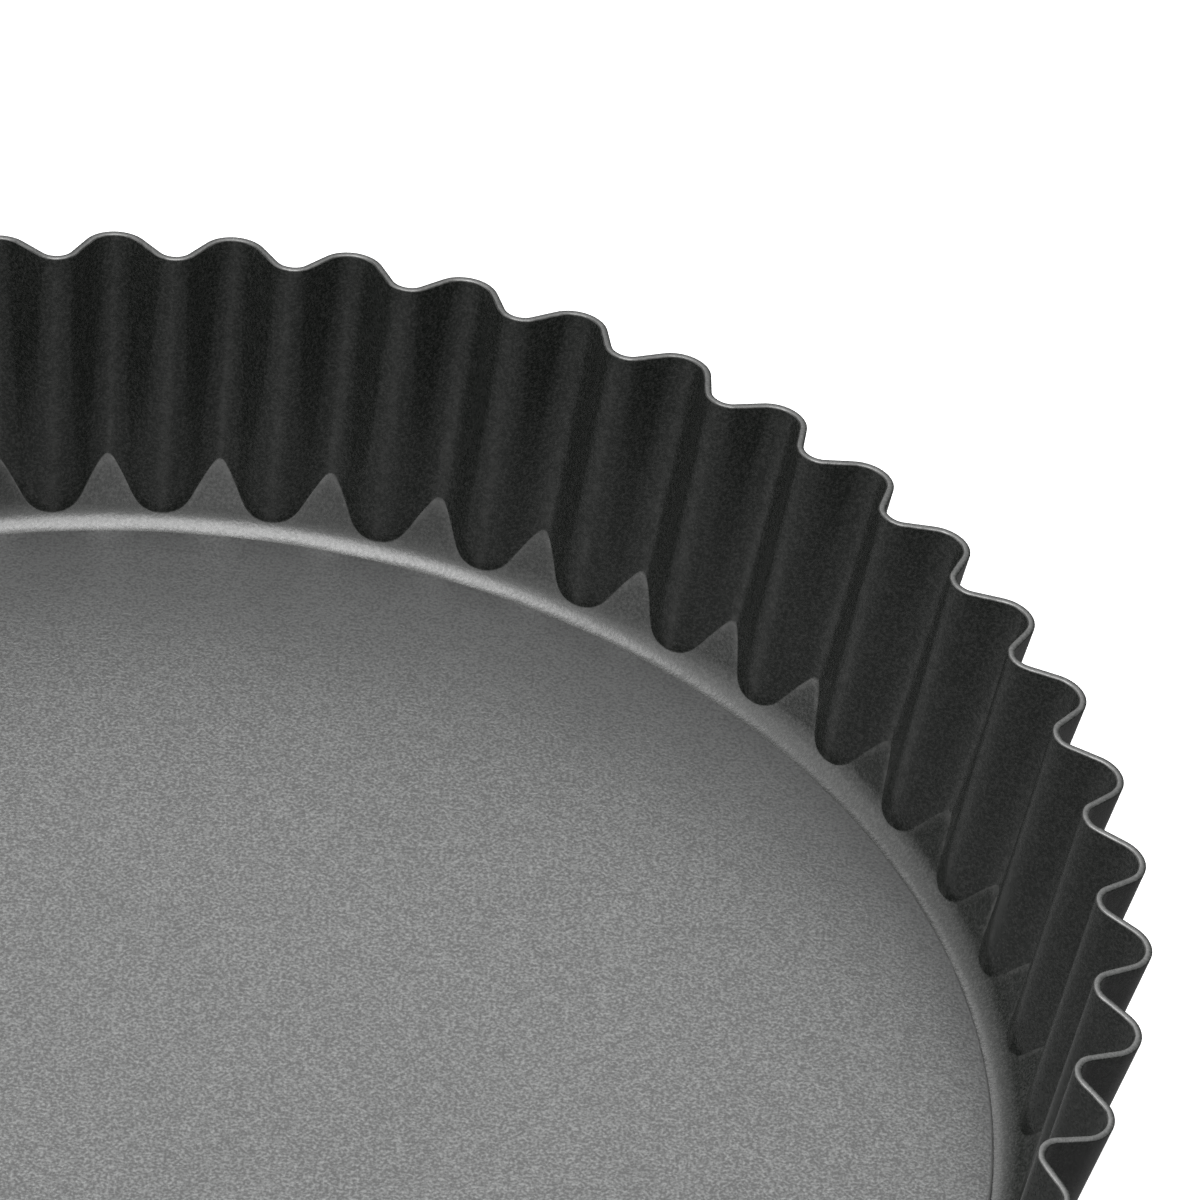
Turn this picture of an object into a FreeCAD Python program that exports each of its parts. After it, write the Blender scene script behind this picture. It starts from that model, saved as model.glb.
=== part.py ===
import FreeCAD, Part
import math
import os
import Sketcher

# Fluted tart pan with a loose base. Millimetres, +Z up, origin at the centre of
# the underside. The pan is two pressed-steel pieces: a fluted ring whose wall
# turns in at the bottom to a flat flange, and a flat disc resting on that flange.

doc = FreeCAD.newDocument("tart_pan")

# ---------------------------------------------------------------- driving sizes
SIZES = [
    ("flute_count", 48),
    ("sheet_thickness", 1.0),
    ("foot_ridge_radius", 111.7),
    ("foot_lobe_radius", 114.2),
    ("foot_ridge_bend", 9.6),
    ("foot_lobe_bend", 1.8),
    ("rim_plane_height", 42.2),
    ("rim_ridge_radius", 117.9),
    ("rim_lobe_radius", 124.3),
    ("rim_ridge_bend", 3.3),
    ("rim_lobe_bend", 3.5),
    ("rim_height", 41.7),
    ("rim_trim_slope", 8.3),
    ("rim_trim_reach", 135.0),
    ("flange_hole_radius", 96.7),
    ("flange_outer_radius", 108.35),
    ("shoulder_bend", 5.6),
    ("shoulder_slope", 59.0),
    ("shoulder_length", 48.0),
    ("base_radius", 108.75),
    ("base_thickness", 1.0),
    ("base_edge_round", 0.4),
    ("seat_gap", 0.02),
]

sizes = doc.addObject("Spreadsheet::Sheet", "sizes")
for row, (name, value) in enumerate(SIZES, start=1):
    sizes.set(f"A{row}", name)
    sizes.set(f"B{row}", str(value))
    sizes.setAlias(f"B{row}", name)
doc.recompute()


def origin_plane(body, role):
    for feature in body.Origin.OriginFeatures:
        if feature.Role == role:
            return feature
    raise ValueError(f"{body.Name} has no {role}")


def add_sketch(body, name, role):
    sketch = body.newObject("Sketcher::SketchObject", name)
    sketch.AttachmentSupport = (origin_plane(body, role), "")
    sketch.MapMode = "FlatFace"
    return sketch


def bind(sketch, constraint, name, expression):
    index = sketch.addConstraint(constraint)
    sketch.renameConstraint(index, name)
    sketch.setExpression(f"Constraints.{name}", expression)
    return index


def point_at(radius, angle):
    return FreeCAD.Vector(radius * math.cos(angle), radius * math.sin(angle), 0)


def arc_between(center, start, end):
    """The short arc from start to end about center, drawn anticlockwise."""
    radius = (start - center).Length
    first = math.atan2(start.y - center.y, start.x - center.x)
    last = math.atan2(end.y - center.y, end.x - center.x)
    if last < first:
        last += 2 * math.pi
    circle = Part.Circle(center, FreeCAD.Vector(0, 0, 1), radius)
    return Part.ArcOfCircle(circle, first, last)


# --------------------------------------------------------------- one flute, plan
def add_flute_outline(body, name, level, offset):
    """One flute as a slice of the pan seen from above: an outward lobe between two
    half ridges, closed by straight lines to the axis. level is "foot" or "rim"."""
    ridge_radius = sizes.get(f"{level}_ridge_radius") + offset
    lobe_radius = sizes.get(f"{level}_lobe_radius") + offset
    ridge_bend = sizes.get(f"{level}_ridge_bend") - offset
    lobe_bend = sizes.get(f"{level}_lobe_bend") + offset
    half_angle = math.pi / sizes.flute_count

    # where the straight flank touches the lobe bend and the ridge bend
    axis = FreeCAD.Vector(0, 0, 0)
    lobe_center = point_at(lobe_radius - lobe_bend, 0)
    ridge_center = point_at(ridge_radius + ridge_bend, half_angle)
    between = ridge_center - lobe_center
    tilt = math.acos((lobe_bend + ridge_bend) / between.Length)
    toward_flank = math.atan2(between.y, between.x) - tilt
    lobe_end = lobe_center + point_at(lobe_bend, toward_flank)
    ridge_end = ridge_center - point_at(ridge_bend, toward_flank)
    crest = point_at(ridge_radius, half_angle)

    def mirrored(point):
        return FreeCAD.Vector(point.x, -point.y, 0)

    sketch = add_sketch(body, name, "XY_Plane")
    if level == "rim":
        sketch.setExpression("AttachmentOffset.Base.z", "sizes.rim_plane_height")
    low_ray, low_ridge, low_flank, lobe, high_flank, high_ridge, high_ray = range(7)
    sketch.addGeometry([
        Part.LineSegment(axis, mirrored(crest)),
        arc_between(mirrored(ridge_center), mirrored(ridge_end), mirrored(crest)),
        Part.LineSegment(mirrored(ridge_end), mirrored(lobe_end)),
        arc_between(lobe_center, mirrored(lobe_end), lobe_end),
        Part.LineSegment(lobe_end, ridge_end),
        arc_between(ridge_center, crest, ridge_end),
        Part.LineSegment(crest, axis),
    ], False)

    start, end, center = 1, 2, 3
    for constraint in (
        Sketcher.Constraint("Coincident", low_ray, start, -1, 1),
        Sketcher.Constraint("Coincident", low_ray, end, low_ridge, end),
        Sketcher.Constraint("Tangent", low_ridge, start, low_flank, start),
        Sketcher.Constraint("Tangent", low_flank, end, lobe, start),
        Sketcher.Constraint("Tangent", lobe, end, high_flank, start),
        Sketcher.Constraint("Tangent", high_flank, end, high_ridge, end),
        Sketcher.Constraint("Coincident", high_ridge, start, high_ray, start),
        Sketcher.Constraint("Coincident", high_ray, end, -1, 1),
        Sketcher.Constraint("PointOnObject", low_ridge, center, low_ray),
        Sketcher.Constraint("PointOnObject", high_ridge, center, high_ray),
        Sketcher.Constraint("PointOnObject", lobe, center, -1),
    ):
        sketch.addConstraint(constraint)
    degrees = "180 / sizes.flute_count * 1 deg"
    bind(sketch, Sketcher.Constraint("Angle", low_ray, start, -1, 1, half_angle),
         "low_ray_angle", degrees)
    bind(sketch, Sketcher.Constraint("Angle", -1, 1, high_ray, end, half_angle),
         "high_ray_angle", degrees)
    bind(sketch, Sketcher.Constraint("Distance", low_ray, ridge_radius),
         "low_ridge_radius", f"sizes.{level}_ridge_radius + {offset_text(offset)}")
    bind(sketch, Sketcher.Constraint("Distance", high_ray, ridge_radius),
         "high_ridge_radius", f"sizes.{level}_ridge_radius + {offset_text(offset)}")
    bind(sketch, Sketcher.Constraint("Radius", low_ridge, ridge_bend),
         "low_ridge_bend", f"sizes.{level}_ridge_bend - {offset_text(offset)}")
    bind(sketch, Sketcher.Constraint("Radius", high_ridge, ridge_bend),
         "high_ridge_bend", f"sizes.{level}_ridge_bend - {offset_text(offset)}")
    bind(sketch, Sketcher.Constraint("Radius", lobe, lobe_bend),
         "lobe_bend", f"sizes.{level}_lobe_bend + {offset_text(offset)}")
    bind(sketch, Sketcher.Constraint("DistanceX", -1, 1, lobe, center, lobe_center.x),
         "lobe_center", f"sizes.{level}_lobe_radius - sizes.{level}_lobe_bend")
    return sketch


def offset_text(offset):
    return "sizes.sheet_thickness" if offset > 0 else "0"


# ------------------------------------------------------- one flute, as a solid
def add_flute_form(name, offset):
    """A slice of the pan's outer form (offset = sheet thickness) or of the space
    inside it (offset = 0): a slanted fluted wall that turns in to the flange."""
    body = doc.addObject("PartDesign::Body", name)
    foot = add_flute_outline(body, f"{name}_foot", "foot", offset)
    rim = add_flute_outline(body, f"{name}_rim", "rim", offset)
    wall = body.newObject("PartDesign::AdditiveLoft", f"{name}_wall")
    wall.Profile = (foot, [""])
    wall.Sections = [(rim, [""])]
    wall.Ruled = True

    outline = add_shoulder_outline(body, f"{name}_shoulder", offset)
    shoulder = body.newObject("PartDesign::Groove", f"{name}_turn_in")
    shoulder.Profile = (outline, [""])
    shoulder.ReferenceAxis = (outline, ["V_Axis"])
    shoulder.Angle = 360
    body.Tip = shoulder
    return body


def add_shoulder_outline(body, name, offset):
    """What the turn-in takes away, as a section to be swept about the pan's axis:
    everything below the flange line and outside the bend and the sloping shoulder."""
    level = sizes.sheet_thickness - offset
    bend = sizes.shoulder_bend + offset
    slope = math.radians(sizes.shoulder_slope)
    bend_center = FreeCAD.Vector(sizes.flange_outer_radius, level + bend, 0)
    along = point_at(sizes.shoulder_length, slope)
    bend_end = bend_center + point_at(bend, slope - math.pi / 2)
    shoulder_end = bend_end + along
    below = -sizes.sheet_thickness
    corners = [
        FreeCAD.Vector(0, below, 0),
        FreeCAD.Vector(0, level, 0),
        FreeCAD.Vector(sizes.flange_outer_radius, level, 0),
    ]

    sketch = add_sketch(body, name, "XZ_Plane")
    inner, flange, bend_arc, shoulder, outer, bottom = range(6)
    outer_corner = FreeCAD.Vector(shoulder_end.x, below, 0)
    sketch.addGeometry([
        Part.LineSegment(corners[0], corners[1]),
        Part.LineSegment(corners[1], corners[2]),
        arc_between(bend_center, corners[2], bend_end),
        Part.LineSegment(bend_end, shoulder_end),
        Part.LineSegment(shoulder_end, outer_corner),
        Part.LineSegment(outer_corner, corners[0]),
    ], False)

    start, end = 1, 2
    for constraint in (
        Sketcher.Constraint("Coincident", inner, end, flange, start),
        Sketcher.Constraint("Tangent", flange, end, bend_arc, start),
        Sketcher.Constraint("Tangent", bend_arc, end, shoulder, start),
        Sketcher.Constraint("Coincident", shoulder, end, outer, start),
        Sketcher.Constraint("Coincident", outer, end, bottom, start),
        Sketcher.Constraint("Coincident", bottom, end, inner, start),
        Sketcher.Constraint("PointOnObject", inner, start, -2),
        Sketcher.Constraint("Vertical", inner),
        Sketcher.Constraint("Horizontal", flange),
        Sketcher.Constraint("Vertical", outer),
        Sketcher.Constraint("Horizontal", bottom),
    ):
        sketch.addConstraint(constraint)
    bind(sketch, Sketcher.Constraint("DistanceY", inner, start, -1, 1, -below),
         "below", "sizes.sheet_thickness")
    bind(sketch, Sketcher.Constraint("DistanceY", inner, start, inner, end, level - below),
         "flange_level", f"2 * sizes.sheet_thickness - {offset_text(offset)}")
    bind(sketch, Sketcher.Constraint("Distance", flange, sizes.flange_outer_radius),
         "flange_radius", "sizes.flange_outer_radius")
    bind(sketch, Sketcher.Constraint("Radius", bend_arc, bend),
         "bend", f"sizes.shoulder_bend + {offset_text(offset)}")
    bind(sketch, Sketcher.Constraint("Angle", -1, 1, shoulder, start, slope),
         "slope", "sizes.shoulder_slope * 1 deg")
    bind(sketch, Sketcher.Constraint("Distance", shoulder, sizes.shoulder_length),
         "length", "sizes.shoulder_length")
    return sketch


def add_disc_sketch(body, name, radius_cell, level_expression=""):
    sketch = add_sketch(body, name, "XY_Plane")
    circle = Part.Circle(FreeCAD.Vector(0, 0, 0), FreeCAD.Vector(0, 0, 1), sizes.get(radius_cell))
    sketch.addGeometry(circle, False)
    sketch.addConstraint(Sketcher.Constraint("Coincident", 0, 3, -1, 1))
    bind(sketch, Sketcher.Constraint("Radius", 0, sizes.get(radius_cell)),
         "radius", f"sizes.{radius_cell}")
    if level_expression:
        sketch.setExpression("AttachmentOffset.Base.z", level_expression)
    return sketch


def add_rim_trim(body, name):
    """The wall's top is trimmed square to the sheet, on a cone: it is highest at the
    ridges and falls a little toward the lobes. The sweep takes away all above it."""
    slope = math.radians(sizes.rim_trim_slope)
    inner_radius = sizes.flange_hole_radius
    inner_height = sizes.rim_height + math.tan(slope) * (sizes.rim_ridge_radius - inner_radius)
    drop = math.tan(slope) * (sizes.rim_trim_reach - inner_radius)
    ceiling = sizes.rim_plane_height + sizes.shoulder_length
    low_inner = FreeCAD.Vector(inner_radius, inner_height, 0)
    low_outer = FreeCAD.Vector(sizes.rim_trim_reach, inner_height - drop, 0)
    high_outer = FreeCAD.Vector(sizes.rim_trim_reach, ceiling, 0)
    high_inner = FreeCAD.Vector(inner_radius, ceiling, 0)

    outline = add_sketch(body, f"{name}_outline", "XZ_Plane")
    trim, outer, top, inner = range(4)
    outline.addGeometry([
        Part.LineSegment(low_inner, low_outer),
        Part.LineSegment(low_outer, high_outer),
        Part.LineSegment(high_outer, high_inner),
        Part.LineSegment(high_inner, low_inner),
    ], False)
    start, end = 1, 2
    for line, following in ((trim, outer), (outer, top), (top, inner), (inner, trim)):
        outline.addConstraint(Sketcher.Constraint("Coincident", line, end, following, start))
    outline.addConstraint(Sketcher.Constraint("Vertical", outer))
    outline.addConstraint(Sketcher.Constraint("Horizontal", top))
    outline.addConstraint(Sketcher.Constraint("Vertical", inner))
    bind(outline, Sketcher.Constraint("DistanceX", -1, 1, trim, start, inner_radius),
         "inner_radius", "sizes.flange_hole_radius")
    bind(outline, Sketcher.Constraint("DistanceX", -1, 1, trim, end, sizes.rim_trim_reach),
         "outer_radius", "sizes.rim_trim_reach")
    rise = "tan(sizes.rim_trim_slope * 1 deg)"
    bind(outline, Sketcher.Constraint("DistanceY", -1, 1, trim, start, inner_height),
         "inner_height",
         f"sizes.rim_height + {rise} * (sizes.rim_ridge_radius - sizes.flange_hole_radius)")
    bind(outline, Sketcher.Constraint("DistanceY", trim, end, trim, start, drop),
         "drop", f"{rise} * (sizes.rim_trim_reach - sizes.flange_hole_radius)")
    bind(outline, Sketcher.Constraint("DistanceY", -1, 1, top, start, ceiling),
         "ceiling", "sizes.rim_plane_height + sizes.shoulder_length")

    cut = body.newObject("PartDesign::Groove", name)
    cut.Profile = (outline, [""])
    cut.ReferenceAxis = (outline, ["V_Axis"])
    cut.Angle = 360
    body.Tip = cut


# --------------------------------------------------------------- the fluted ring
ring = add_flute_form("fluted_ring", sizes.sheet_thickness)
add_rim_trim(ring, "rim_trim")
hollow = add_flute_form("flute_hollow", 0)
doc.recompute()

ring_sheet = ring.newObject("PartDesign::Boolean", "ring_sheet")
ring_sheet.Type = "Cut"
ring_sheet.addObjects([hollow])

hole_outline = add_disc_sketch(ring, "flange_hole_outline", "flange_hole_radius")
flange_hole = ring.newObject("PartDesign::Pocket", "flange_hole")
flange_hole.Profile = (hole_outline, [""])
flange_hole.Type = "ThroughAll"
flange_hole.Midplane = True
doc.recompute()

all_flutes = ring.newObject("PartDesign::PolarPattern", "all_flutes")
all_flutes.TransformMode = "Whole shape"
all_flutes.Axis = (hole_outline, ["N_Axis"])
all_flutes.Angle = 360
all_flutes.Occurrences = int(sizes.flute_count)
all_flutes.setExpression("Occurrences", "sizes.flute_count")
ring.Tip = all_flutes
ring.Label = "fluted_ring"

# --------------------------------------------------------------- the loose base
base = doc.addObject("PartDesign::Body", "loose_base")
base_outline = add_disc_sketch(
    base, "base_outline", "base_radius", "sizes.sheet_thickness + sizes.seat_gap")
base_disc = base.newObject("PartDesign::Pad", "base_disc")
base_disc.Profile = (base_outline, [""])
base_disc.setExpression("Length", "sizes.base_thickness")
doc.recompute()

base_edge = base.newObject("PartDesign::Fillet", "base_edge")
rims = [
    f"Edge{number}"
    for number, edge in enumerate(base_disc.Shape.Edges, start=1)
    if isinstance(edge.Curve, Part.Circle)
]
base_edge.Base = (base_disc, rims)
base_edge.setExpression("Radius", "sizes.base_edge_round")
base.Tip = base_edge
base.Label = "loose_base"

doc.recompute()

# ------------------------------------------------------------- check and write
for item in doc.Objects:
    if {"Invalid", "Error"} & set(item.State):
        raise RuntimeError(f"{item.Label} is {item.State}")

os.makedirs("parts", exist_ok=True)
for part in (ring, base):
    shape = part.Shape
    if shape.isNull() or not shape.isValid() or len(shape.Solids) != 1:
        raise RuntimeError(f"{part.Label} is not one valid solid")
    shape.exportStep(f"parts/{part.Label}.step")
    print(part.Label, round(shape.Volume, 1), len(shape.Faces), shape.BoundBox)
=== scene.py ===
"""Looks of the loose-base fluted tart pan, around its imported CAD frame."""

import bpy
import numpy as np
from mathutils import Matrix, Vector


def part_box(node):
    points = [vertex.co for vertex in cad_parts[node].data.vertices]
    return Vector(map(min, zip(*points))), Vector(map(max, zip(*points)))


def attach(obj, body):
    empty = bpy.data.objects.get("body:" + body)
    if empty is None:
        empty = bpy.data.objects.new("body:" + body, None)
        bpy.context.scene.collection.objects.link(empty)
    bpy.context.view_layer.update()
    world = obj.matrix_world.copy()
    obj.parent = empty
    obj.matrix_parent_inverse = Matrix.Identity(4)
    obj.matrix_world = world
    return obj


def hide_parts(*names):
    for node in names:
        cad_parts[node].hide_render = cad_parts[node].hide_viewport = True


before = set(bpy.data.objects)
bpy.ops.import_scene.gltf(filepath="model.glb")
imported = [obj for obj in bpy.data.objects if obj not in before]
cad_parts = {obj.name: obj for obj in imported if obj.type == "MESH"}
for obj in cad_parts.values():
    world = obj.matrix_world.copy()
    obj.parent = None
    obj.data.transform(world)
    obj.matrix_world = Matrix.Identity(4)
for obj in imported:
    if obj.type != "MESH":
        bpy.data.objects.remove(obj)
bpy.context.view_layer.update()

MM = 0.001

# ------------------------------------------------------------ sizes of the pan
FLUTES = 48
SHEET = 1.0 * MM

# heights and radii of the CAD nodes, from the frame
_, ring_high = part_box("fluted_ring")
base_low, base_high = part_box("loose_base")
RIM_HEIGHT = ring_high.z
BASE_RADIUS = base_high.x
BASE_BOTTOM = base_low.z
BASE_TOP = base_high.z

# inner face of the wall: its outline at the foot (z = 0) and at a plane just over the rim
FOOT = {"ridge": 111.7 * MM, "lobe": 114.2 * MM, "ridge_bend": 9.6 * MM, "lobe_bend": 1.8 * MM}
TOP = {"ridge": 117.9 * MM, "lobe": 124.3 * MM, "ridge_bend": 3.3 * MM, "lobe_bend": 3.5 * MM}
TOP_PLANE = 42.2 * MM

# the rim is trimmed on a cone: highest at the ridges, falling toward the lobes
RIM_FALL = np.tan(np.radians(8.3))

# inner face of the turned-in bottom
HOLE_RADIUS = 96.7 * MM
FLANGE_RADIUS = 108.35 * MM
SHOULDER_BEND = 5.6 * MM
SHOULDER_SLOPE = np.radians(59)
CREASE = 0.06 * MM

# cut edges of the sheet are flat with rounded corners, swept in turns from face to back
EDGE_ROUND = 0.26 * MM
EDGE_TURNS = np.linspace(0, np.pi, 13)[1:-1]
EDGE_SQUARENESS = 0.7

# corners of the loose base
BASE_ROUNDING = 0.4 * MM

# mesh points round one flute, and rows up the flange, the shoulder and the wall
POINTS_PER_FLUTE = 40
FLANGE_ROWS = 5
SHOULDER_ROWS = 22
SHOULDER_CROWD = 1.5
WALL_ROWS = 34
WALL_CROWD = 1.8

# mesh points round the base, and rows across its flat and over one corner
BASE_COLUMNS = 720
BASE_ROWS = 24
BASE_CORNER_ROWS = 7
BASE_INNERMOST = 2 * MM

# passes that settle the rim's height, and halvings that find where the wall starts
RIM_PASSES = 8
CREASE_HALVINGS = 40
CREASE_SEARCH = 20 * MM

# how worn the coating is, from 0 to 1, and how far the wear reaches; the shoulder and flute values
# are not wear but painted highlight, a paler coating where light would catch, while the rim and
# base values are wear
SHOULDER_PAINTED_HIGHLIGHT = 0.6
SHOULDER_HIGHLIGHT_REACH = 1.2 * MM
# the flute values paint soft vertical highlights as a paler coating, they are not wear
FLUTE_PAINTED_HIGHLIGHT = 0.22
FLUTE_HIGHLIGHT_LEFT_AT_RIM = 0.35
FLUTE_HIGHLIGHT_FADE = 0.7
RIM_WEAR_TURN = 0.55
RIM_WEAR_SPREAD = 0.40
BASE_EDGE_WEAR = 0.5
BASE_EDGE_WEAR_REACH = 0.35 * MM


def flute_radius(angle, outline):
    """Radius of the fluted outline at each angle: round lobe, straight flank, round ridge."""
    half = np.pi / FLUTES
    from_lobe = np.abs((angle + half) % (2 * half) - half)
    lobe_at = outline["lobe"] - outline["lobe_bend"]
    ridge_at = outline["ridge"] + outline["ridge_bend"]
    ridge_x, ridge_y = ridge_at * np.cos(half), ridge_at * np.sin(half)
    apart = np.hypot(ridge_x - lobe_at, ridge_y)
    lean = np.arctan2(ridge_y, ridge_x - lobe_at)
    lean -= np.arccos((outline["lobe_bend"] + outline["ridge_bend"]) / apart)
    flank_x = lobe_at + outline["lobe_bend"] * np.cos(lean)
    flank_y = outline["lobe_bend"] * np.sin(lean)
    end_x = ridge_x - outline["ridge_bend"] * np.cos(lean)
    end_y = ridge_y - outline["ridge_bend"] * np.sin(lean)

    sideways = np.clip(lobe_at * np.sin(from_lobe), 0, outline["lobe_bend"])
    on_lobe = lobe_at * np.cos(from_lobe) + np.sqrt(outline["lobe_bend"] ** 2 - sideways**2)
    on_flank = (flank_x * np.cos(lean) + flank_y * np.sin(lean)) / np.cos(from_lobe - lean)
    from_ridge = half - from_lobe
    sideways = np.clip(ridge_at * np.sin(from_ridge), 0, outline["ridge_bend"])
    on_ridge = ridge_at * np.cos(from_ridge) - np.sqrt(outline["ridge_bend"] ** 2 - sideways**2)
    lobe_ends = np.arctan2(flank_y, flank_x)
    ridge_starts = np.arctan2(end_y, end_x)
    past_lobe = np.where(from_lobe < ridge_starts, on_flank, on_ridge)
    return np.where(from_lobe < lobe_ends, on_lobe, past_lobe)


def shoulder_point(length):
    """Radius and height on the bend and slope above the flange, a given length along them."""
    bend_length = SHOULDER_BEND * SHOULDER_SLOPE
    turned = np.minimum(length, bend_length) / SHOULDER_BEND
    beyond = np.maximum(length - bend_length, 0)
    radius = FLANGE_RADIUS + SHOULDER_BEND * np.sin(turned) + beyond * np.cos(SHOULDER_SLOPE)
    height = SHEET + SHOULDER_BEND * (1 - np.cos(turned)) + beyond * np.sin(SHOULDER_SLOPE)
    return radius, height


def shoulder_length(height):
    """How far along the bend and slope a given height is reached."""
    turned = np.arccos(np.clip(1 - (height - SHEET) / SHOULDER_BEND, -1, 1))
    bend_rise = SHOULDER_BEND * (1 - np.cos(SHOULDER_SLOPE))
    beyond = (height - SHEET - bend_rise) / np.sin(SHOULDER_SLOPE)
    return np.where(beyond > 0, SHOULDER_BEND * SHOULDER_SLOPE + beyond, turned * SHOULDER_BEND)


def wall_radius(angle, height):
    """Radius of the fluted wall's inner face, which runs straight from foot to top."""
    share = height / TOP_PLANE
    return flute_radius(angle, FOOT) * (1 - share) + flute_radius(angle, TOP) * share


def trim_height(radius):
    """Height of the cone on which the rim is cut."""
    return RIM_HEIGHT - RIM_FALL * (radius - TOP["ridge"])


def rim_height(angle):
    """Height of the rim at each angle, where the wall's inner face meets the cone."""
    height = np.full_like(angle, RIM_HEIGHT)
    for _ in range(RIM_PASSES):
        height = trim_height(wall_radius(angle, height))
    return height


def crease_length(angle):
    """How far along the shoulder the wall starts, at each angle, by halving."""
    low = np.zeros_like(angle)
    high = np.full_like(angle, CREASE_SEARCH)
    for _ in range(CREASE_HALVINGS):
        middle = (low + high) / 2
        radius, height = shoulder_point(middle)
        inside = radius < wall_radius(angle, height)
        low = np.where(inside, middle, low)
        high = np.where(inside, high, middle)
    return (low + high) / 2


def soft_minimum(first, second, width):
    """The smaller of two values, with the corner between them rounded over the width."""
    overlap = np.maximum(width - np.abs(first - second), 0) / width
    return np.minimum(first, second) - overlap**2 * width / 4


def grouped(start, end, count, crowd):
    """Numbers from start to end, crowded towards end (crowd > 1) or start (crowd < 1)."""
    share = np.linspace(0, 1, count)
    return start + (end - start) * (1 - (1 - share) ** crowd)


def ring_inner_face():
    """Points of the ring's inner face, as rows from the flange hole up to the rim, and the
    paler coating at each, which is painted highlight, not wear: softly along the middle of
    every ridge and lobe, and where the shoulder runs out in a lobe."""
    columns = FLUTES * POINTS_PER_FLUTE
    angle = np.arange(columns) * 2 * np.pi / columns
    crease = crease_length(angle)
    _, crease_height = shoulder_point(crease)
    top = rim_height(angle)
    into_lobe = (crease_height - crease_height.min()) / (crease_height.max() - crease_height.min())
    # mask for the painted highlight down the middle of every ridge and lobe
    flute_highlight_mask = np.cos(angle * FLUTES * 2) ** 2 * (np.cos(angle * FLUTES) ** 2) ** 3
    rows = []
    wear_and_highlight = []
    for radius in np.linspace(HOLE_RADIUS + EDGE_ROUND, FLANGE_RADIUS, FLANGE_ROWS):
        rows.append((np.full_like(angle, radius), np.full_like(angle, SHEET)))
        wear_and_highlight.append(np.zeros_like(angle))
    for share in grouped(0, 1, SHOULDER_ROWS, SHOULDER_CROWD)[1:]:
        radius, height = shoulder_point(crease * share)
        rows.append((soft_minimum(radius, wall_radius(angle, height), CREASE), height))
        below_crease = crease * (1 - share)
        # painted highlight: paler coating just below where the wall starts, strongest at the tips
        # of the humps, brightening them in place of light
        near_crease = np.exp(-((below_crease / SHOULDER_HIGHLIGHT_REACH) ** 2))
        wear_and_highlight.append(SHOULDER_PAINTED_HIGHLIGHT * into_lobe * near_crease)
    for share in 1 - grouped(0, 1, WALL_ROWS, WALL_CROWD)[::-1][1:]:
        height = crease_height + (top - EDGE_ROUND - crease_height) * share
        radius, _ = shoulder_point(shoulder_length(height))
        rows.append((soft_minimum(radius, wall_radius(angle, height), CREASE), height))
        # painted highlight: paler coating down the middle of every ridge and lobe, strongest at the
        # wall's foot, standing in for soft vertical highlights
        faded = (1 - FLUTE_HIGHLIGHT_LEFT_AT_RIM) * (1 - share) ** FLUTE_HIGHLIGHT_FADE
        wear_and_highlight.append(FLUTE_PAINTED_HIGHLIGHT * flute_highlight_mask * (FLUTE_HIGHLIGHT_LEFT_AT_RIM + faded))
    points = [np.stack([r * np.cos(angle), r * np.sin(angle), z], axis=1) for r, z in rows]
    return np.array(points), np.array(wear_and_highlight)


def sheet_from_face(face, wear_and_highlight):
    """Rows of points round the whole sheet: up the inner face, over the rim, down the outer
    face and round the edge of the flange hole. The wear and painted highlight of each point go
    with them, and the rim is worn along its inner corner."""
    along = np.gradient(face, axis=0)
    around = np.roll(face, -1, axis=1) - np.roll(face, 1, axis=1)
    outward = np.cross(around, along)
    outward /= np.linalg.norm(outward, axis=2, keepdims=True)
    back = face + outward * SHEET

    climb = face[-1] - face[-2]
    climb /= np.linalg.norm(climb, axis=1, keepdims=True)
    back_radius = np.hypot(back[-1][:, 0], back[-1][:, 1])
    climb_out = (climb[:, 0] * back[-1][:, 0] + climb[:, 1] * back[-1][:, 1]) / back_radius
    short = trim_height(back_radius) - EDGE_ROUND - back[-1][:, 2]
    back[-1] += climb * (short / (climb[:, 2] + RIM_FALL * climb_out))[:, None]
    rim_rows = [edge_row(face[-1], back[-1], turn, climb * EDGE_ROUND) for turn in EDGE_TURNS]
    toward_axis = -face[0] * (1, 1, 0)
    toward_axis *= EDGE_ROUND / np.linalg.norm(toward_axis, axis=1, keepdims=True)
    hole_rows = [edge_row(back[0], face[0], turn, toward_axis) for turn in EDGE_TURNS]
    inner_corner = np.exp(-((EDGE_TURNS - RIM_WEAR_TURN) / RIM_WEAR_SPREAD) ** 2)
    rim_wear = np.repeat(inner_corner[:, None], wear_and_highlight.shape[1], axis=1)
    unworn = np.zeros((len(back) + len(hole_rows), wear_and_highlight.shape[1]))
    rows = np.concatenate([face, rim_rows, back[::-1], hole_rows])
    return rows, np.concatenate([wear_and_highlight, rim_wear, unworn])


def edge_row(front, back, turn, reach):
    """One row over a cut edge that is flat with rounded corners; turn runs from 0 to pi."""
    share = (1 - np.cos(turn)) / 2
    return front * (1 - share) + back * share + reach * np.sin(turn) ** EDGE_SQUARENESS


def closed_grid_mesh(name, rows, wear_and_highlight):
    """A mesh from rows of points that closes both ways."""
    row_count, column_count = rows.shape[:2]
    index = np.arange(row_count * column_count).reshape(row_count, column_count)
    right = np.roll(index, -1, axis=1)
    above = np.roll(index, -1, axis=0)
    corner = np.roll(above, -1, axis=1)
    faces = np.stack([index, right, corner, above], axis=-1).reshape(-1, 4)
    return smooth_mesh(name, rows.reshape(-1, 3), wear_and_highlight.reshape(-1), faces.tolist())


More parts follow.
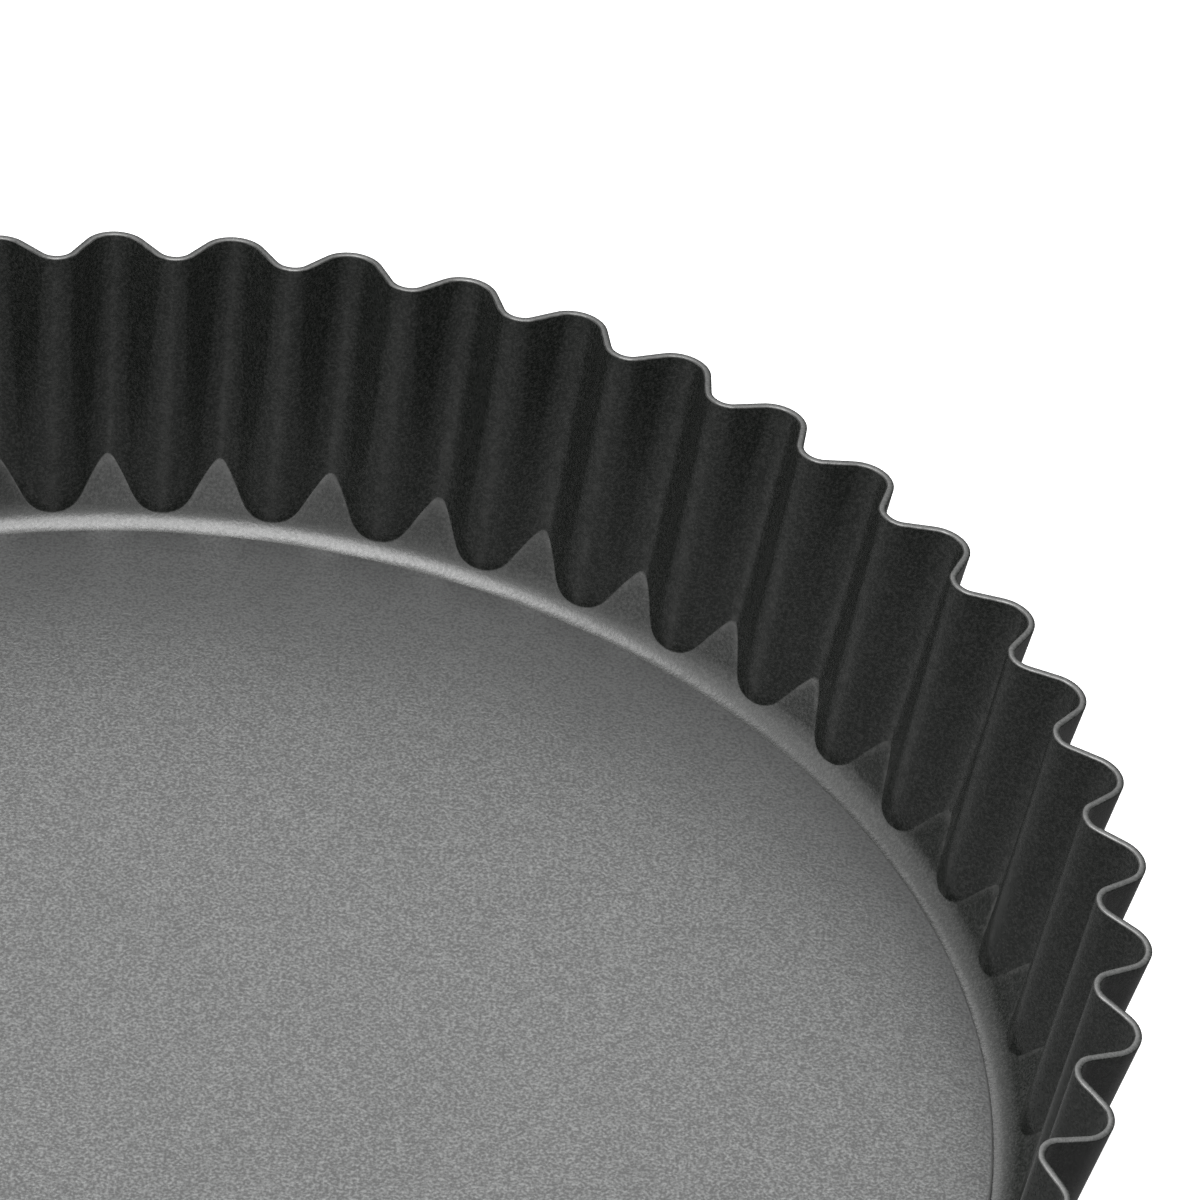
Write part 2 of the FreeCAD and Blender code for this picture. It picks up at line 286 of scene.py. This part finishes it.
def smooth_mesh(name, points, wear_and_highlight, faces):
    """A smooth-shaded object whose points carry their wear and painted highlight."""
    mesh = bpy.data.meshes.new(name)
    mesh.from_pydata(points.tolist(), [], faces)
    mesh.validate()
    mesh.attributes.new("wear_and_highlight", "FLOAT", "POINT").data.foreach_set("value", wear_and_highlight.astype(np.float32))
    mesh.shade_smooth()
    piece = bpy.data.objects.new(name, mesh)
    bpy.context.scene.collection.objects.link(piece)
    return piece


# --------------------------------------------------------------- the loose base
def base_rows():
    """Radius and height of each ring of the disc, from the middle of the top round the edge."""
    flat = np.linspace(BASE_INNERMOST, BASE_RADIUS - BASE_ROUNDING, BASE_ROWS)
    rows = [(radius, BASE_TOP) for radius in flat]
    for turn in np.linspace(0, np.pi / 2, BASE_CORNER_ROWS)[1:]:
        inset, drop = BASE_ROUNDING * (1 - np.sin(turn)), BASE_ROUNDING * (1 - np.cos(turn))
        rows.append((BASE_RADIUS - inset, BASE_TOP - drop))
    for turn in np.linspace(np.pi / 2, 0, BASE_CORNER_ROWS):
        inset, rise = BASE_ROUNDING * (1 - np.sin(turn)), BASE_ROUNDING * (1 - np.cos(turn))
        rows.append((BASE_RADIUS - inset, BASE_BOTTOM + rise))
    rows += [(radius, BASE_BOTTOM) for radius in flat[-2::-1]]
    return rows


def make_base():
    """The disc as rings of points joined by quads, closed by a fan at the top and bottom."""
    columns = BASE_COLUMNS
    angle = np.arange(columns) * 2 * np.pi / columns
    rings = [np.stack([r * np.cos(angle), r * np.sin(angle), np.full_like(angle, z)], axis=1)
             for r, z in base_rows()]
    points = np.concatenate(rings + [[(0, 0, BASE_TOP), (0, 0, BASE_BOTTOM)]])
    faces = []
    for row in range(len(rings) - 1):
        for column in range(columns):
            beside = (column + 1) % columns
            faces.append((row * columns + column, (row + 1) * columns + column,
                          (row + 1) * columns + beside, row * columns + beside))
    top, bottom = len(points) - 2, len(points) - 1
    last = (len(rings) - 1) * columns
    for column in range(columns):
        beside = (column + 1) % columns
        faces.append((top, column, beside))
        faces.append((bottom, last + beside, last + column))
    from_edge = BASE_RADIUS - np.hypot(points[:, 0], points[:, 1])
    wear_and_highlight = BASE_EDGE_WEAR * (from_edge < BASE_EDGE_WEAR_REACH)
    return smooth_mesh("loose_base_sheet", points, wear_and_highlight, faces)


# -------------------------------------------------------------------- materials
class Nodes:
    """Short calls for building one material's node tree."""

    def __init__(self, name):
        self.material = bpy.data.materials.new(name)
        self.material.use_nodes = True
        self.tree = self.material.node_tree
        self.shader = self.tree.nodes["Principled BSDF"]

    def add(self, kind, inputs=(), **settings):
        node = self.tree.nodes.new(kind)
        for key, value in settings.items():
            setattr(node, key, value)
        for socket, value in dict(inputs).items():
            self.put(node, socket, value)
        return node

    def put(self, node, socket, value):
        if isinstance(value, bpy.types.NodeSocket):
            self.tree.links.new(value, node.inputs[socket])
        else:
            node.inputs[socket].default_value = value

    def noise(self, place, size, detail=2.0, roughness=0.5):
        """Noise whose grains are about size metres across."""
        inputs = {"Vector": place, "Scale": 1 / size, "Detail": detail, "Roughness": roughness}
        return self.add("ShaderNodeTexNoise", inputs).outputs["Fac"]

    def between(self, value, low, high, to_low=0.0, to_high=1.0):
        inputs = {"Value": value, "From Min": low, "From Max": high}
        inputs.update({"To Min": to_low, "To Max": to_high})
        return self.add("ShaderNodeMapRange", inputs).outputs["Result"]

    def mix(self, factor, first, second):
        node = self.add("ShaderNodeMix", data_type="RGBA")
        for socket, value in ((0, factor), (6, first), (7, second)):
            self.put(node, socket, value)
        return node.outputs[2]

    def math(self, operation, first, second):
        return self.add("ShaderNodeMath", {0: first, 1: second}, operation=operation).outputs[0]

    def bump(self, height, distance, strength=1.0, normal=None):
        inputs = {"Height": height, "Distance": distance, "Strength": strength}
        if normal is not None:
            inputs["Normal"] = normal
        return self.add("ShaderNodeBump", inputs).outputs["Normal"]


# colour of the metal where the coating is rubbed thin; the same colour is mixed in as painted
# highlight on the ring's flutes and shoulder
RUBBED_AND_HIGHLIGHT = (0.135, 0.135, 0.132, 1)

# size of the coating's clumps, counted in flecks, and their share of the fleck pattern
CLUMP_SIZE = 3.2
CLUMP_SHARE = 0.16

# sizes of its clouds of gloss, of the patches that break up its wear and its painted highlight, and
# of its orange peel, and the peel's height
CLOUD_SIZE = 22 * MM
PATCH_SIZE = 1.6 * MM
PEEL_SIZE = 1.3 * MM
PEEL_HEIGHT = 0.02 * MM


def coating(name, dark, light, gloss, fleck_size, fleck_bump, ior=1.7, fleck_metal=0.0):
    """Baked-on non-stick coating: dark, with fine flecks that gather in loose clumps and can be
    part metal, a slight orange peel, and paler metal showing where it is worn. The same paler
    colour, read from the same attribute, is painted highlight on the ring's flutes and shoulder."""
    n = Nodes(name)
    place = n.add("ShaderNodeTexCoord").outputs["Object"]

    grains = n.noise(place, fleck_size, 1.5, 0.6)
    clumps = n.noise(place, CLUMP_SIZE * fleck_size, 2.0, 0.6)
    fine_part = n.math("MULTIPLY", grains, 1 - CLUMP_SHARE)
    flecks = n.math("ADD", fine_part, n.math("MULTIPLY", clumps, CLUMP_SHARE))
    clouds = n.noise(place, CLOUD_SIZE, 3.0)
    fleck = n.between(flecks, 0.40, 0.68)
    flecked = n.mix(fleck, dark, light)
    wear_and_highlight = n.add("ShaderNodeAttribute", attribute_name="wear_and_highlight").outputs["Fac"]
    # patches that break up both the wear and the painted highlight
    patches = n.between(n.noise(place, PATCH_SIZE, 4.0), 0.38, 0.66, 0.3, 1.0)
    # the attribute mixes in the rubbed metal colour: wear on the rim and the base's edge, painted
    # highlight on the ring's flutes and shoulder tips
    n.put(n.shader, "Base Color", n.mix(n.math("MULTIPLY", wear_and_highlight, patches), flecked, RUBBED_AND_HIGHLIGHT))

    cloudy = n.between(clouds, 0.3, 0.7, gloss - 0.025, gloss + 0.035)
    grain_gloss = n.between(flecks, 0.35, 0.65, 0.05, -0.05)
    n.put(n.shader, "Roughness", n.math("ADD", cloudy, grain_gloss))
    bare_metal = n.between(wear_and_highlight, 0.62, 0.95, 0.0, 0.85)
    metal_fleck = n.math("MULTIPLY", fleck, fleck_metal)
    n.put(n.shader, "Metallic", n.math("MAXIMUM", metal_fleck, bare_metal))
    n.put(n.shader, "IOR", ior)
    peel = n.bump(n.noise(place, PEEL_SIZE, 2.0), PEEL_HEIGHT)
    n.put(n.shader, "Normal", n.bump(flecks, fleck_bump, 1.0, peel))
    return n.material


# ------------------------------------------------------------- build the pieces
ring_coating = coating(
    "ring_coating",
    dark=(0.008, 0.0095, 0.0082, 1),
    light=(0.040, 0.0415, 0.0395, 1),
    gloss=0.24,
    fleck_size=0.38 * MM,
    fleck_bump=0.020 * MM,
)
base_coating = coating(
    "base_coating",
    dark=(0.044, 0.0447, 0.0444, 1),
    light=(0.160, 0.1628, 0.1614, 1),
    gloss=0.36,
    fleck_size=0.42 * MM,
    fleck_bump=0.058 * MM,
    ior=1.5,
    fleck_metal=0.76,
)

ring = closed_grid_mesh("fluted_ring_sheet", *sheet_from_face(*ring_inner_face()))
ring.data.materials.append(ring_coating)
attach(ring, "ring")
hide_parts("fluted_ring")

base = make_base()
base.data.materials.append(base_coating)
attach(base, "base")
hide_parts("loose_base")


# ------------------------------------------------------- floor, lights, camera
def make_floor():
    """A pale, glowing floor. Diffuse and glossy rays pass through it, so it sends no light
    to the pan."""
    mesh = bpy.data.meshes.new("floor")
    far = FLOOR_REACH
    corners = [(-far, -far, 0), (far, -far, 0), (far, far, 0), (-far, far, 0)]
    mesh.from_pydata(corners, [], [(0, 1, 2, 3)])
    floor = bpy.data.objects.new("floor", mesh)
    bpy.context.scene.collection.objects.link(floor)
    floor.location.z = -FLOOR_GAP
    n = Nodes("floor_paper")
    n.put(n.shader, "Base Color", (FLOOR_SHADE, FLOOR_SHADE, FLOOR_SHADE, 1))
    n.put(n.shader, "Roughness", 0.9)
    n.put(n.shader, "Emission Color", (1, 1, 1, 1))
    n.put(n.shader, "Emission Strength", FLOOR_GLOW)
    floor.data.materials.append(n.material)
    floor.visible_diffuse = False
    floor.visible_glossy = False


def make_room():
    """A soft white room. Its light comes from overhead, behind, in front of and to the left
    of the pan, in wide bands that fade into each other, and a little comes from below."""
    world = bpy.data.worlds.new("room")
    bpy.context.scene.world = world
    world.use_nodes = True
    tree = world.node_tree
    backdrop = tree.nodes["Background"]
    backdrop.inputs["Color"].default_value = (1, 1, 1, 1)
    direction = tree.nodes.new("ShaderNodeTexCoord").outputs["Generated"]
    total = None
    for toward, spread, strength in ROOM_BANDS:
        aligned = tree.nodes.new("ShaderNodeVectorMath")
        aligned.operation = "DOT_PRODUCT"
        tree.links.new(direction, aligned.inputs[0])
        aligned.inputs[1].default_value = Vector(toward).normalized()
        band = tree.nodes.new("ShaderNodeMapRange")
        band.interpolation_type = "SMOOTHSTEP"
        band.inputs["From Min"].default_value = np.cos(np.radians(spread))
        band.inputs["From Max"].default_value = 1.0
        band.inputs["To Max"].default_value = strength
        tree.links.new(aligned.outputs["Value"], band.inputs["Value"])
        if total is None:
            total = band.outputs["Result"]
            continue
        both = tree.nodes.new("ShaderNodeMath")
        tree.links.new(total, both.inputs[0])
        tree.links.new(band.outputs["Result"], both.inputs[1])
        total = both.outputs[0]
    tree.links.new(total, backdrop.inputs["Strength"])


def make_camera():
    """The camera, looking down over the rim from in front of the pan."""
    camera = bpy.data.objects.new("camera", bpy.data.cameras.new("camera"))
    bpy.context.scene.collection.objects.link(camera)
    camera.data.lens = CAMERA_LENS
    camera.data.sensor_width = 36
    camera.data.clip_end = 100
    azimuth, elevation = np.radians(CAMERA_AZIMUTH), np.radians(CAMERA_ELEVATION)
    level = np.cos(elevation)
    away = Vector((level * np.cos(azimuth), level * np.sin(azimuth), np.sin(elevation)))
    aim = Vector(CAMERA_AIM)
    turn = away.to_track_quat("Z", "Y").to_matrix().to_4x4()
    roll = Matrix.Rotation(np.radians(CAMERA_ROLL), 4, "Z")
    camera.matrix_world = Matrix.Translation(aim + away * CAMERA_DISTANCE) @ turn @ roll
    bpy.context.scene.camera = camera


FLOOR_REACH = 12.0
FLOOR_GAP = 0.2 * MM
FLOOR_SHADE = 0.6
FLOOR_GLOW = 0.7

# toward, how far it spreads in degrees, strength
ROOM_BANDS = (
    ((0, 0, 1), 30, 5.6),
    ((0, 0, 1), 85, 1.25),
    ((0, 0.42, 0.91), 28, 1.5),
    ((0, 0.73, 0.68), 26, 1.0),
    ((0, 0.94, 0.34), 26, 0.45),
    ((0, -0.956, 0.292), 22, 1.0),
    ((-0.6, -0.73, 0.32), 24, 0.55),
    ((-0.92, -0.33, 0.21), 26, 0.6),
    ((-0.87, 0, 0.5), 32, 0.4),
    ((-0.5, 0, 0.87), 32, 0.5),
    ((0, 0, -1), 100, 0.18),
)

CAMERA_AIM = (0.05279, 0.10238, BASE_TOP)
CAMERA_AZIMUTH = -90.195
CAMERA_ELEVATION = 40.637
CAMERA_DISTANCE = 1.3674
CAMERA_ROLL = 5.287
CAMERA_LENS = 305.05

make_floor()
make_room()
make_camera()
bpy.context.scene.view_settings.view_transform = "Standard"
